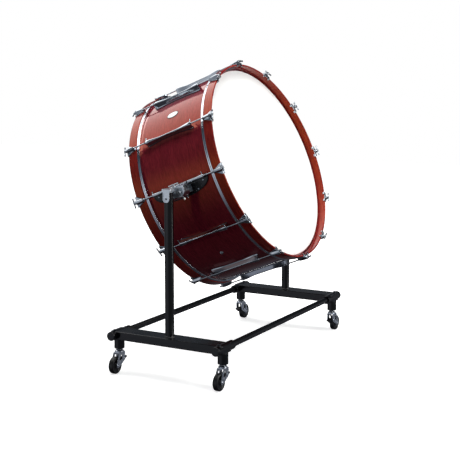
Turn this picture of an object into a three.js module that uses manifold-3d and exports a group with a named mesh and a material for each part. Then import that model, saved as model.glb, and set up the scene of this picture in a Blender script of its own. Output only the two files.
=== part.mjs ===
// Concert bass drum, 36 inches across and 16 inches deep, on a rolling stand that lets it tilt.
// Millimetres, +Z up, playing head towards -Y. The origin is on the floor under the drum's centre.
import * as THREE from "three";
import { mergeVertices } from "three/addons/utils/BufferGeometryUtils.js";
import Module from "manifold-3d";

// ---------------------------------------------------------------- driving dimensions

const gap = 0.3; // between pieces that touch
const running = 0.7; // radial play of a threaded or turning fit
const weld = 1; // how far joined pieces of one solid run into each other
const drumFlats = 60; // flats round the drum, a multiple of the twelve tension stations
const stations = 12;

const drum = { depth: 464, tilt: 22 }; // hoop face to hoop face; lean of the playing head from upright
const shell = { radius: 455, wall: 9 };
const head = { film: 1, collar: 1.2, recess: 34, rimReach: 12, rimWidth: 15 };
const hoop = { wall: 8, width: 44, bite: 5 }; // bite: how far the hoop laps over the head's metal rim
const rod = { radius: 3, standOff: 9, engaged: 25 }; // standOff: from the hoop's outside to the rod's axis
const tBar = { length: 48, width: 9, waist: 6, thick: 7, washer: 6.5, clear: 10 };
const claw = { width: 50, tip: 14, thick: 4.5, bossWidth: 16 };
const hook = { width: 11, spacing: 38, thick: 4.5 };
// inset: from the hoop's inner edge to the lug's end, and likewise for the trunnion's plate and stubs
const lug = { inset: 59.5, endLength: 70, endWidth: 24, neckWidth: 14, barWidth: 10, barRise: 26, cover: 7 };
const lugKnob = { radius: 3.2, height: 11, inset: 5 };
const pivot = { drop: 28, pinRadius: 7.5, bossRadius: 22, bossHeight: 28 };
const plate = { inset: 39.5, rise: 9, drop: 58, corner: 9, fullness: 2.4, thick: 7 };
const stub = { inset: 47.5, width: 16, innerEnd: 54.5, middle: 46 };
const tiltClamp = { front: 59, rear: 45, above: 20, below: 27, nose: 17, floor: 5 };
const clampBolt = { stem: 4, rise: 14, length: 56, thick: 8, height: 6 };
const collar = { front: 56, rear: 28, above: 18, below: 16 }; // distances from the pin
const wingScrew = { stem: 2.5, out: 4, thick: 4, width: 9, length: 19, ahead: 32, rise: 22 };
const lockLever = { boss: 6.5, bossDepth: 10, arm: 2, reach: 37, ball: 4.8, slope: 22 };
const leverPlace = { ahead: 38, below: 7, room: 12.5 }; // room: from the clamp to the post
const bracket = { width: 46, top: 24, cap: 14, wall: 4, cheekWidth: 32, cheekDrop: 58 };

const stand = { beamWidth: 87, beamHeight: 37, overhang: 20, corner: 12 };
const sideClearance = 21; // from the turning T-bars to the inner faces of the beams
const swingClearance = 108; // from the beams up to the corner of the turning drum
const post = { radius: 20, bead: 4 };
const base = { spacing: 530, tubeRadius: 14, tubeWall: 2, tubeGrip: 72 }; // spacing: front to rear cross tube
const sleeve = { wall: 6.5, outward: 65, inward: 78, crown: 4 };
const sleeveBolt = { radius: 8, height: 7, outward: 33 };
const leg = { radius: 23, length: 47.5, socketDepth: 36 };

const wheel = { radius: 38, width: 24, treadHeight: 8, webWidth: 18, round: 2.5 };
const hub = { width: 26, radius: 13 };
const fork = { trail: 35, plate: 3, side: 1, crown: 17, stem: 5.5, stemLength: 31, axle: 4 };
const race = { radius: 20, height: 10, clear: 6 }; // the swivel bearing, and the play up to the leg
// ahead: of the wheel; drop: from the fork
const brake = { pin: 2.5, width: 20, ahead: 10, drop: 32, tab: 34 };

// ---------------------------------------------------------------- sizes that follow

const shellHalf = drum.depth / 2 - head.recess - head.film - gap;
const drumHalf = drum.depth / 2;
const collarRadius = shell.radius + gap + head.collar;
const rimRadius = shell.radius + head.rimReach;
const hoopInner = rimRadius - hoop.bite;
const hoopRadius = hoopInner + hoop.wall;
const hoopSeat = drumHalf - hoop.width; // the hoop's inner edge, which presses on the rim
const rodLine = hoopRadius + rod.standOff; // distance of every rod's axis from the drum's axis
const shellFace = shell.radius + gap; // where everything bolted to the shell begins
const lugTop = rodLine + lug.cover;
const lugEnd = hoopSeat - lug.inset;
const stubEnd = hoopSeat - stub.inset;
const rodInnerEnd = lugEnd - rod.engaged;
const barFace = drumHalf + tBar.clear; // the side of the T-bar that faces the hoop

const forkTop = 2 * wheel.radius + fork.crown;
const legBottom = forkTop + race.height + race.clear;
const beamBottom = legBottom + leg.length;
const beamTop = beamBottom + stand.beamHeight;
const tubeZ = (beamBottom + beamTop) / 2;
const cornerY = base.spacing / 2;
const sleeveRadius = base.tubeRadius + sleeve.wall;

const tilt = THREE.MathUtils.degToRad(drum.tilt);
const cornerReach = Math.hypot(rodLine, barFace + tBar.thick); // of the turning drum, from its middle
const drumHeight = beamTop + swingClearance + cornerReach;
const pivotY = -pivot.drop * Math.sin(tilt);
const pivotZ = drumHeight - pivot.drop * Math.cos(tilt);
const sideX = rodLine + tBar.length / 2 + sideClearance + stand.beamWidth / 2; // the posts and casters
const postTop = pivotZ + bracket.top - bracket.cap - gap;
const clampInner = shellFace + pivot.bossHeight; // the tilt clamp's two faces, from the drum's axis
const clampOuter = sideX - post.radius - leverPlace.room;
const clampMiddle = (clampInner + clampOuter) / 2;
const pinEnd = sideX - clampInner - tiltClamp.floor - 1; // from the post's axis
const wheelGap = hub.width / 2 + fork.side; // from the wheel's middle to each fork cheek
const brakeX = wheel.radius - fork.trail + brake.ahead;
const brakeZ = forkTop - brake.drop;
const forkNose = brakeX + 7;
const forkBack = -race.radius - 2;

// ---------------------------------------------------------------- solids and shapes

const wasm = await Module();
wasm.setup();

function toSolid(geometry) {
  const bare = new THREE.BufferGeometry();
  bare.setAttribute("position", geometry.getAttribute("position"));
  if (geometry.index) bare.setIndex(geometry.index);
  const merged = mergeVertices(bare, 1e-3);
  const vertProperties = merged.getAttribute("position").array;
  const triVerts = new Uint32Array(merged.index.array);
  return new wasm.Manifold(new wasm.Mesh({ numProp: 3, vertProperties, triVerts }));
}

function toGeometry(solid) {
  const mesh = solid.getMesh();
  const geometry = new THREE.BufferGeometry();
  geometry.setAttribute("position", new THREE.BufferAttribute(mesh.vertProperties, 3));
  geometry.setIndex(new THREE.BufferAttribute(mesh.triVerts, 1));
  geometry.computeVertexNormals();
  return geometry;
}

function join(...geometries) {
  return toGeometry(geometries.map(toSolid).reduce((sum, next) => sum.add(next)));
}

function cut(geometry, ...tools) {
  return toGeometry(tools.map(toSolid).reduce((rest, tool) => rest.subtract(tool), toSolid(geometry)));
}

function common(first, second) {
  return toGeometry(toSolid(first).intersect(toSolid(second)));
}

// A box between two values along each axis.
function block([x0, x1], [y0, y1], [z0, z1]) {
  const geometry = new THREE.BoxGeometry(x1 - x0, y1 - y0, z1 - z0);
  return geometry.translate((x0 + x1) / 2, (y0 + y1) / 2, (z0 + z1) / 2);
}

// A cylinder or cone from one value to another along an axis, through the given point.
function round(axis, from, to, radius, { at = [0, 0, 0], steps = 16, endRadius = radius } = {}) {
  const geometry = new THREE.CylinderGeometry(endRadius, radius, to - from, steps);
  geometry.translate(0, (from + to) / 2, 0);
  if (axis === "x") geometry.rotateZ(-Math.PI / 2);
  if (axis === "z") geometry.rotateX(Math.PI / 2);
  return geometry.translate(...at);
}

// A closed profile of [radius, y] points turned about the Y axis.
function turned(profile, steps) {
  const points = profile.map(([radius, y]) => new THREE.Vector2(radius, y));
  return new THREE.LatheGeometry(points, steps);
}

const between = (a, b) => (a < b ? [a, b] : [b, a]);

function ring(inner, outer, from, to, steps) {
  return turned([[inner, from], [outer, from], [outer, to], [inner, to], [inner, from]], steps);
}

function outline(points, hole) {
  const shape = new THREE.Shape(points.map(([x, y]) => new THREE.Vector2(x, y)));
  if (hole) shape.holes.push(hole);
  return shape;
}

function extrude(shape, depth, curveSegments = 6) {
  return new THREE.ExtrudeGeometry(shape, { depth, bevelEnabled: false, curveSegments });
}

// An outline in X and Y, made solid from one height to another.
function upright(shape, from, to, curveSegments) {
  return extrude(shape, to - from, curveSegments).translate(0, 0, from);
}

// An outline in X and Z, made solid from one value of Y to another.
function sideways(shape, from, to, curveSegments) {
  return extrude(shape, to - from, curveSegments).rotateX(Math.PI / 2).translate(0, to, 0);
}

// A rectangle in X and Y with round corners.
function roundedRectangle(width, length, radius) {
  const [x, y] = [width / 2, length / 2];
  const shape = new THREE.Shape();
  shape.moveTo(x - radius, -y);
  shape.absarc(x - radius, radius - y, radius, -Math.PI / 2, 0);
  shape.absarc(x - radius, y - radius, radius, 0, Math.PI / 2);
  shape.absarc(radius - x, y - radius, radius, Math.PI / 2, Math.PI);
  shape.absarc(radius - x, radius - y, radius, Math.PI, 1.5 * Math.PI);
  shape.closePath();
  return shape;
}

// ---------------------------------------------------------------- finishes

const finishes = {
  mahogany: { color: 0x6a2a22, roughness: 0.25, metalness: 0 },
  chrome: { color: 0xc9ccd0, roughness: 0.15, metalness: 1 },
  film: { color: 0xf7f6f0, roughness: 0.5, metalness: 0 },
  blackPaint: { color: 0x15161a, roughness: 0.4, metalness: 0.2 },
  blackRubber: { color: 0x1a1a1c, roughness: 0.7, metalness: 0 },
};

function named(name, geometry, finish) {
  const mesh = new THREE.Mesh(geometry, new THREE.MeshStandardMaterial(finishes[finish]));
  mesh.name = name;
  return mesh;
}

const twoDigits = (number) => String(number).padStart(2, "0");

// ---------------------------------------------------------------- drum
// The drum is built upright with its axis along Y and its playing head at -Y. At a tension
// station X runs round the drum, Y along its axis and Z away from the axis.

function shellTube() {
  return ring(shell.radius - shell.wall, shell.radius, -shellHalf, shellHalf, drumFlats);
}

// The film and the metal rim that it is folded into are one piece, as a drumhead is sold.
function drumhead() {
  const face = drumHalf - head.recess;
  const rimTop = hoopSeat - gap;
  const rimBottom = rimTop - head.rimWidth;
  return turned(
    [
      [0, -face],
      [collarRadius, -face],
      [collarRadius, -rimTop],
      [rimRadius, -rimTop],
      [rimRadius, -rimBottom],
      [shellFace, -rimBottom],
      [shellFace, head.film - face],
      [0, head.film - face],
    ],
    drumFlats,
  );
}

// Triangular plate on the outside of the hoop, two hooks over its edge and a boss for the rod.
function clawHook() {
  const half = claw.width / 2;
  const seatInside = hoopRadius - 1.5;
  const shoulder = drumHalf - 8;
  const tipY = hoopSeat + 2;
  const plan = outline([
    [-half, -drumHalf],
    [half, -drumHalf],
    [half, -shoulder],
    [claw.tip / 2, -tipY],
    [-claw.tip / 2, -tipY],
    [-half, -shoulder],
  ]);
  const top = hoopRadius + claw.thick;
  const outerEdge = -drumHalf - hook.thick;
  const hooks = [-1, 1].flatMap((side) => {
    const middle = (side * hook.spacing) / 2;
    const across = [middle - hook.width / 2, middle + hook.width / 2];
    return [
      block(across, [outerEdge, -drumHalf + weld], [hoopInner - hook.thick, top]),
      block(across, [outerEdge, -drumHalf + 6], [hoopInner - hook.thick, hoopInner + weld]),
    ];
  });
  const boss = outline([
    [-claw.bossWidth / 2, seatInside],
    [claw.bossWidth / 2, seatInside],
    [claw.bossWidth / 3, lugTop],
    [-claw.bossWidth / 3, lugTop],
  ]);
  const bossFront = 1 + gap - barFace;
  return join(upright(plan, seatInside, top), ...hooks, sideways(boss, bossFront, -hoopSeat - 12));
}

// A wooden counterhoop with the twelve claws that pull it down.
function counterhoop() {
  let whole = toSolid(ring(hoopInner, hoopRadius, -drumHalf, -hoopSeat, drumFlats));
  const one = clawHook();
  const bore = round("y", -barFace - 1, -hoopSeat, rod.radius + running, { at: [0, 0, rodLine], steps: 8 });
  for (let station = 0; station < stations; station += 1) {
    const angle = (station * 2 * Math.PI) / stations;
    whole = whole.add(toSolid(one.clone().rotateY(angle)));
    whole = whole.subtract(toSolid(bore.clone().rotateY(angle)));
  }
  return toGeometry(whole);
}

// A T-handled rod with its washer. It turns in the claw and screws into the lug.
function tensionRod() {
  const [end, broad, waist] = [tBar.length / 2, tBar.width / 2, tBar.waist / 2];
  const bar = outline([
    [-end, rodLine - broad * 0.8],
    [-0.7 * end, rodLine - broad],
    [0, rodLine - waist],
    [0.7 * end, rodLine - broad],
    [end, rodLine - broad * 0.8],
    [end, rodLine + broad * 0.8],
    [0.7 * end, rodLine + broad],
    [0, rodLine + waist],
    [-0.7 * end, rodLine + broad],
    [-end, rodLine + broad * 0.8],
  ]);
  const at = [0, 0, rodLine];
  return join(
    sideways(bar, -barFace - tBar.thick, -barFace),
    round("y", -barFace - weld, 1 - barFace, tBar.washer, { at, steps: 6 }),
    round("y", -barFace - weld, -rodInnerEnd, rod.radius, { at, steps: 8 }),
  );
}

// The threaded holes for both rods, open at the outer faces and a little deeper than the rods reach.
function lugBores(outerEnd) {
  const at = [0, 0, rodLine];
  const bottom = rodInnerEnd - 3;
  return [
    round("y", -outerEnd - 1, -bottom, rod.radius + running, { at, steps: 8 }),
    round("y", bottom, outerEnd + 1, rod.radius + running, { at, steps: 8 }),
  ];
}

// A small screw in the side of each end block. towards is the side that it stands out of.
function lugKnobs(outerEnd, halfWidth, towards) {
  const y = outerEnd - lugKnob.inset;
  const reach = between(towards * (halfWidth - weld), towards * (halfWidth + lugKnob.height));
  return [-y, y].map((place) => round("x", ...reach, lugKnob.radius, { at: [0, place, rodLine], steps: 6 }));
}

// A double-ended lug: flared end blocks that take the rods, and a slim bar between them.
function doubleLug() {
  const outerEnd = lugEnd;
  const innerEnd = outerEnd - lug.endLength;
  const [wide, neck, bar] = [lug.endWidth / 2, lug.neckWidth / 2, lug.barWidth / 2];
  const blockPlan = (side) =>
    outline([
      [-neck, side * innerEnd],
      [neck, side * innerEnd],
      [wide, side * (outerEnd - 20)],
      [wide, side * (outerEnd - 4)],
      [wide - 4, side * outerEnd],
      [4 - wide, side * outerEnd],
      [-wide, side * (outerEnd - 4)],
      [-wide, side * (outerEnd - 20)],
    ]);
  const barSection = outline([
    [-bar, shellFace],
    [bar, shellFace],
    [bar * 0.6, shellFace + lug.barRise],
    [-bar * 0.6, shellFace + lug.barRise],
  ]);
  const body = join(
    upright(blockPlan(-1), shellFace, lugTop),
    upright(blockPlan(1), shellFace, lugTop),
    sideways(barSection, -innerEnd - weld, innerEnd + weld),
    ...lugKnobs(outerEnd, wide, 1),
  );
  return cut(body, ...lugBores(outerEnd));
}

// The plate is straight beside the rods and curves fully below them. Points are [below the rods, along].
function plateOutline(down) {
  const reach = hoopSeat - plate.inset;
  const power = 2 / plate.fullness;
  const points = [];
  for (let step = 0; step <= 20; step += 1) {
    const turn = (Math.PI * step) / 20;
    const along = reach * Math.sign(Math.cos(turn)) * Math.abs(Math.cos(turn)) ** power;
    points.push([down * plate.drop * Math.abs(Math.sin(turn)) ** power, along]);
  }
  points.push([-down * plate.rise, plate.corner - reach], [-down * plate.rise, reach - plate.corner]);
  return outline(points);
}

// The collar between the plate and the clamp, with a small wing screw that hangs from it.
function clampCollar(down) {
  const [top, bottom] = [pivot.drop - collar.above, pivot.drop + collar.below];
  const wingTop = bottom + wingScrew.out;
  const [halfThick, halfWidth] = [wingScrew.thick / 2, wingScrew.width / 2];
  const rise = shellFace + wingScrew.rise;
  return [
    block(between(down * top, down * bottom), [-collar.front, -collar.rear], [shellFace, clampInner]),
    round("x", ...between(down * (bottom - weld), down * (wingTop + weld)), wingScrew.stem, {
      at: [0, -wingScrew.ahead, rise],
      steps: 8,
    }),
    block(
      between(down * wingTop, down * (wingTop + wingScrew.length)),
      [-wingScrew.ahead - halfThick, -wingScrew.ahead + halfThick],
      [rise - halfWidth, rise + halfWidth],
    ),
  ];
}

// The split block that grips the tilt pin, with its T-handled bolt.
function clampBlock(down) {
  const [top, bottom] = [pivot.drop - tiltClamp.above, pivot.drop + tiltClamp.below];
  const side = outline([
    [down * top, -tiltClamp.front],
    [down * top, tiltClamp.rear],
    [down * bottom, tiltClamp.rear],
    [down * bottom, tiltClamp.nose - tiltClamp.front],
    [down * (bottom - tiltClamp.nose), -tiltClamp.front],
  ]);
  const barFoot = top - clampBolt.rise;
  const [halfThick, halfLength] = [clampBolt.thick / 2, clampBolt.length / 2];
  return [
    upright(side, clampInner - weld, clampOuter),
    round("x", ...between(down * (barFoot - weld), down * (top + weld)), clampBolt.stem, {
      at: [0, 0, clampMiddle],
      steps: 12,
    }),
    block(
      between(down * (barFoot - clampBolt.height), down * barFoot),
      [-halfLength, halfLength],
      [clampMiddle - halfThick, clampMiddle + halfThick],
    ),
  ];
}

// The trunnion: a curved plate, the lug stubs of its tension station, a boss and the tilt clamp.
// down leads round the drum towards the floor: -1 on the left, +1 on the right.
function trunnion(down) {
  const middleX = down * pivot.drop;
  const wrap = ring(shellFace, shellFace + plate.thick, -drumHalf, drumHalf, drumFlats);
  const curved = common(upright(plateOutline(down), shellFace - 20, shellFace + 20), wrap);
  const across = [-stub.width / 2, stub.width / 2];
  const rise = [shellFace, lugTop];
  const body = join(
    curved,
    block(across, [-stubEnd, -stub.innerEnd], rise),
    block(across, [stub.innerEnd, stubEnd], rise),
    block(across, [-stub.middle, stub.middle], [shellFace, rodLine]),
    ...lugKnobs(stubEnd, stub.width / 2, -down),
    round("z", shellFace, clampInner, pivot.bossRadius, { at: [middleX, 0, 0], steps: 24 }),
    ...clampCollar(down),
    ...clampBlock(down),
  );
  const pinBore = round("z", clampInner + tiltClamp.floor, clampOuter + 1, pivot.pinRadius + running, {
    at: [middleX, 0, 0],
    steps: 20,
  });
  return cut(body, pinBore, ...lugBores(stubEnd));
}

// A thin lever with a ball on its end, on the screw that pinches the clamp round the pin.
function pinchLever() {
  const slope = THREE.MathUtils.degToRad(180 + lockLever.slope);
  const arm = round("x", 0, lockLever.reach, lockLever.arm, { steps: 6 });
  const ball = new THREE.SphereGeometry(lockLever.ball, 10, 6).translate(lockLever.reach, 0, 0);
  const swung = join(arm, ball).rotateZ(slope).translate(0, 0, lockLever.ball + 1);
  return join(round("z", 0, lockLever.bossDepth, lockLever.boss, { steps: 12 }), swung);
}

function stationGroup(hour) {
  const group = new THREE.Group();
  group.rotation.y = (hour * 2 * Math.PI) / stations;
  return group;
}

function drumGroup() {
  const group = new THREE.Group();
  group.position.z = drumHeight;
  group.rotation.x = -tilt;
  group.add(named("shell", shellTube(), "mahogany"));
  const lugGeometry = doubleLug();
  const rodGeometry = tensionRod();
  for (const [end, turn] of [["front", 0], ["rear", Math.PI]]) {
    const hoopMesh = named(`hoop_${end}`, counterhoop(), "mahogany");
    const headMesh = named(`drumhead_${end}`, drumhead(), "film");
    hoopMesh.rotation.z = turn;
    headMesh.rotation.z = turn;
    group.add(hoopMesh, headMesh);
  }
  for (let hour = 1; hour <= stations; hour += 1) {
    const station = stationGroup(hour);
    const number = twoDigits(hour);
    if (hour === stations / 4) {
      station.add(named("trunnion_right", trunnion(1), "chrome"));
    } else if (hour === (3 * stations) / 4) {
      const lever = named("lock_lever", pinchLever(), "chrome");
      lever.position.set(-pivot.drop - leverPlace.below, -leverPlace.ahead, clampOuter + gap);
      station.add(named("trunnion_left", trunnion(-1), "chrome"), lever);
    } else {
      station.add(named(`lug_${number}`, lugGeometry, "chrome"));
    }
    const frontRod = named(`tension_rod_front_${number}`, rodGeometry, "chrome");
    const rearRod = named(`tension_rod_rear_${number}`, rodGeometry, "chrome");
    rearRod.rotation.z = Math.PI;
    station.add(frontRod, rearRod);
    group.add(station);
  }
  return group;
}

// ---------------------------------------------------------------- stand
// The whole stand is centred on the tilt axis. Each side is built about its post's axis.
// inward is +1 on the left and -1 on the right.

const span = (inward, from, to) => between(inward * from, inward * to);

// Beam, post, two sleeves for the cross tubes and two caster legs, welded into one frame.
function sideFrame(inward) {
  const beam = roundedRectangle(stand.beamWidth, base.spacing + 2 * stand.overhang, stand.corner);
  const pieces = [
    upright(beam, beamBottom, beamTop, 3),
    round("z", beamTop - weld, postTop, post.radius, { steps: 20 }),
    round("z", beamTop - weld, beamTop + post.bead, post.radius + post.bead, {
      steps: 20,
      endRadius: post.radius - weld,
    }),
  ];
  const pinHole = { at: [0, 0, pivotZ] };
  const holes = [round("x", -post.radius - 1, post.radius + 1, pivot.pinRadius + gap, pinHole)];
  for (const y of [-cornerY, cornerY]) {
    const at = [0, y, tubeZ];
    const crownEnd = sleeveRadius - sleeve.crown;
    const [sleeveFrom, sleeveTo] = span(inward, -sleeve.outward, sleeve.inward);
    const [crownFrom, crownTo] = span(inward, -sleeve.outward - sleeve.crown, -sleeve.outward);
    const crownStart = inward > 0 ? crownEnd : sleeveRadius;
    const crownStop = inward > 0 ? sleeveRadius : crownEnd;
    pieces.push(
      round("x", sleeveFrom, sleeveTo, sleeveRadius, { at, steps: 16 }),
      round("x", crownFrom, crownTo, crownStart, { at, steps: 16, endRadius: crownStop }),
      round("z", legBottom, beamBottom + weld, leg.radius, { at: [0, y, 0], steps: 16 }),
      round("z", beamTop - weld, beamTop + sleeveBolt.height, sleeveBolt.radius, {
        at: [-inward * sleeveBolt.outward, y, 0],
        steps: 6,
      }),
    );
    const grip = span(inward, sleeve.inward - base.tubeGrip - gap, sleeve.inward + 1);
    holes.push(
      round("x", ...grip, base.tubeRadius + running, { at, steps: 16 }),
      round("z", legBottom - 1, legBottom + leg.socketDepth, fork.stem + running, {
        at: [0, y, 0],
        steps: 10,
      }),
    );
  }
  return cut(join(...pieces), ...holes);
}

function crossTube() {
  const half = sideX - sleeve.inward + base.tubeGrip;
  const tube = ring(base.tubeRadius - base.tubeWall, base.tubeRadius, -half, half, 16);
  return tube.rotateZ(-Math.PI / 2);
}

// Chrome bracket on top of the post: a cap, a cheek down its outer face, and the pin that the drum tilts on.
// It is built about the pin's axis.
function postBracket(inward) {
  const outside = post.radius + gap + bracket.wall;
  const [halfWidth, halfCheek] = [bracket.width / 2, bracket.cheekWidth / 2];
  return join(
    block(
      span(inward, -outside, post.radius),
      [-halfWidth, halfWidth],
      [bracket.top - bracket.cap, bracket.top],
    ),
    block(
      span(inward, -outside, -post.radius - gap),
      [-halfCheek, halfCheek],
      [bracket.top - bracket.cheekDrop, bracket.top - weld],
    ),
    round("x", ...span(inward, -post.radius - gap - weld, pinEnd), pivot.pinRadius, { steps: 20 }),
  );
}

function standGroup() {
  const group = new THREE.Group();
  for (const [side, inward] of [["left", 1], ["right", -1]]) {
    const x = -inward * sideX;
    const frame = named(`side_frame_${side}`, sideFrame(inward), "blackPaint");
    frame.position.set(x, pivotY, 0);
    const top = named(`post_bracket_${side}`, postBracket(inward), "chrome");
    top.position.set(x, pivotY, pivotZ);
    group.add(frame, top);
  }
  for (const [end, y] of [["front", -cornerY], ["rear", cornerY]]) {
    const tube = named(`cross_tube_${end}`, crossTube(), "blackPaint");
    tube.position.set(0, pivotY + y, tubeZ);
    group.add(tube);
  }
  return group;
}

// ---------------------------------------------------------------- casters
// A caster is built about its kingpin with the floor at zero and the wheel trailing towards -X.

// One side of the fork: down from the top plate to the axle, with the brake's pin at its nose.
function cheekOutline() {
  const axleBoss = 11;
  const shape = new THREE.Shape();
  shape.moveTo(forkBack, forkTop);
  shape.absarc(-fork.trail, wheel.radius, axleBoss, Math.PI, 1.75 * Math.PI);
  shape.lineTo(brakeX - 8, brakeZ - 13);
  shape.lineTo(forkNose, brakeZ - 7);
  shape.lineTo(forkNose, forkTop);
  shape.closePath();
  return shape;
}

function casterFork() {
  const outer = wheelGap + fork.plate;
  const stemTop = legBottom + fork.stemLength;
  const axleAt = [-fork.trail, 0, wheel.radius];
  const brakeAt = [brakeX, 0, brakeZ];
  return join(
    sideways(cheekOutline(), -outer, -wheelGap, 5),
    sideways(cheekOutline(), wheelGap, outer, 5),
    block([forkBack, forkNose], [-outer, outer], [forkTop - fork.plate, forkTop]),
    round("z", forkTop - weld, forkTop + race.height * 0.6, race.radius, { steps: 16 }),
    round("z", forkTop + race.height / 2, forkTop + race.height, race.radius * 0.8, {
      steps: 16,
      endRadius: race.radius * 0.5,
    }),
    round("z", forkTop, stemTop, fork.stem, { steps: 10 }),
    round("y", -outer - 3, outer + 3, fork.axle, { at: axleAt, steps: 10 }),
    round("y", -outer - 2, outer + 2, brake.pin, { at: brakeAt, steps: 8 }),
  );
}

function casterWheel() {
  const [hubSide, web, tread] = [hub.width / 2, wheel.webWidth / 2, wheel.width / 2];
  const rimInner = wheel.radius - wheel.treadHeight;
  const bore = fork.axle + running;
  const half = [
    [bore, hubSide],
    [hub.radius, hubSide],
    [hub.radius, web],
    [rimInner, web],
    [rimInner + 1, tread],
    [wheel.radius - wheel.round, tread],
    [wheel.radius, tread - wheel.round],
  ];
  const mirrored = half.map(([radius, y]) => [radius, -y]);
  return turned([...mirrored, ...half.reverse(), mirrored[0]], 20);
}

// The foot lever: a bent strip between the fork's cheeks with a tab that sticks out ahead.
function brakeLever() {
  const [x, z] = [brakeX, brakeZ];
  const hole = new THREE.Path();
  hole.absarc(x, z, brake.pin + running, 0, 2 * Math.PI, true);
  const strip = outline(
    [
      [x - 5, z + 5],
      [x + 5, z + 6],
      [x + 17, z - 3],
      [x + brake.tab - 1, z + 3],
      [x + brake.tab, z],
      [x + 18, z - 8],
      [x + 9, z - 15],
      [x + 1, z - 19],
      [x - 4, z - 15],
      [x - 6, z - 4],
    ].reverse(),
    hole,
  );
  return sideways(strip, -brake.width / 2, brake.width / 2, 4);
}

function casterGroup(place) {
  const group = new THREE.Group();
  const spin = named(`wheel_${place}`, casterWheel(), "blackRubber");
  spin.position.set(-fork.trail, 0, wheel.radius);
  group.add(named(`caster_fork_${place}`, casterFork(), "chrome"), spin);
  group.add(named(`brake_lever_${place}`, brakeLever(), "blackPaint"));
  return group;
}

function allCasters() {
  const group = new THREE.Group();
  for (const [end, y] of [["front", -cornerY], ["rear", cornerY]]) {
    for (const [side, x, turn] of [["left", -sideX, 0], ["right", sideX, Math.PI]]) {
      const caster = casterGroup(`${end}_${side}`);
      caster.position.set(x, pivotY + y, 0);
      caster.rotation.z = turn;
      group.add(caster);
    }
  }
  return group;
}

// ---------------------------------------------------------------- whole part

const bassDrum = new THREE.Group();
bassDrum.add(drumGroup(), standGroup(), allCasters());
export default bassDrum;
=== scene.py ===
# %% [markdown]
# # A concert bass drum on a tilting stand
# The object is a wooden drum nearly a metre across that hangs between two posts on wheels. Every moving
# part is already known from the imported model, which this lesson loads as a fixed frame. Each cell then
# builds one kind of piece from mesh code, in the frame's own place, and hangs it on the body it moves with.

# %% Load the fixed frame and keep its box
from math import copysign, cos, hypot, pi, radians, sin

import bmesh
import bpy
from mathutils import Matrix, Vector


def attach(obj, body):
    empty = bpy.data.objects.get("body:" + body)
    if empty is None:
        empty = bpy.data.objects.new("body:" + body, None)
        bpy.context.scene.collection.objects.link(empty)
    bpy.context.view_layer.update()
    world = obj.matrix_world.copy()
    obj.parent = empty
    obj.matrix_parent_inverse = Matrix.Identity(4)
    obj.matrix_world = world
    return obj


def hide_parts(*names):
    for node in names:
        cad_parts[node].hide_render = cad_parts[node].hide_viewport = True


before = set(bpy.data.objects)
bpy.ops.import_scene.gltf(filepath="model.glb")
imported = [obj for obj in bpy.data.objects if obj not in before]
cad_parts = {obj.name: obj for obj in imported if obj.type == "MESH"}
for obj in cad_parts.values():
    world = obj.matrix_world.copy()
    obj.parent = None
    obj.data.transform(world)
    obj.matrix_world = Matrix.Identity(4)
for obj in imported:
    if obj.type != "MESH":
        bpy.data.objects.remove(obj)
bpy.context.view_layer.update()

# %% [markdown]
# ## Sizes
# A maker works in millimetres, so the shapes below are drawn in millimetres and shrunk to metres once, when
# a mesh is finished. Three axes matter. The drum is drawn with its axis along Y and its playing head at -Y.
# A tension station is drawn with X round the drum, Y along its axis and Z away from the axis. A stand side
# is drawn round its post. One matrix for each of them puts its pieces into the frame.

# %% Sizes of the drum and the stand
MM = 0.001
SHELL = 455.0
SHELL_HALF = 196.7
HOOP_IN, HOOP_OUT = 462.0, 470.0
HOOP_SEAT, HOOP_EDGE = 188.0, 232.0
ROD_LINE = 479.0
FOOT = 455.3
LUG_END = 128.5
DRUM_UP, TILT = 841.36, radians(22)
PIVOT_DROP = 28.0
PIVOT_Y = -PIVOT_DROP * sin(TILT)
PIVOT_Z = DRUM_UP - PIVOT_DROP * cos(TILT)
SIDE_X = 567.5
CORNER_Y = 265.0
BEAM_LOW, BEAM_TOP = 156.5, 193.5
LEG_LOW = 109.0
POST = 20.0
POST_TOP = 825.1

drum_place = Matrix.Translation((0, 0, DRUM_UP)) @ Matrix.Rotation(-TILT, 4, "X")
print("drum rim diameter:", 2 * HOOP_OUT, "mm, tilt axis at height", round(PIVOT_Z, 1), "mm")


# %% Places along the drum and the stand
def station(hour, rear=False):
    """The place of a tension station, told as an hour on a clock face, on the front or the rear side."""
    around = Matrix.Rotation(hour * pi / 6, 4, "Y")
    return drum_place @ around @ Matrix.Rotation(pi if rear else 0, 4, "Z")


def stand_side(side, up=0.0):
    """The place of a post, left or right, at a height. The stand is centred on the tilt axis."""
    return Matrix.Translation((-SIDE_X if side == "left" else SIDE_X, PIVOT_Y, up))


print("station 9 looks towards", [round(v, 2) for v in station(9).to_3x3() @ Vector((0, 0, 1))])

# %% [markdown]
# ## Mesh tools
# Nearly every part of a drum is turned on a lathe, bent from strip or cast in a mould. So four small tools
# are enough: an outline with round corners, a skin over a row of rings, a profile turned about an axis, and
# a bevel that breaks the sharp edges, because light catches on edges and a model without them looks fake.


# %% Outlines and skins
def rounded(corners, radius, steps=3):
    """The outline with each corner made round. A corner may carry a radius of its own as a third number."""
    line = []
    for before, here, after in zip(corners[-1:] + corners[:-1], corners, corners[1:] + corners[:1]):
        bend = here[2] if len(here) > 2 else radius
        middle, back, on = (Vector(p[:2]) for p in (here, before, after))
        if bend == 0:
            line.append(tuple(middle))
            continue
        reach = min(bend, 0.48 * (back - middle).length, 0.48 * (on - middle).length)
        start = middle + (back - middle).normalized() * reach
        end = middle + (on - middle).normalized() * reach
        for step in range(steps + 1):
            t = step / steps
            line.append(tuple((1 - t) ** 2 * start + 2 * t * (1 - t) * middle + t * t * end))
    return line


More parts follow.
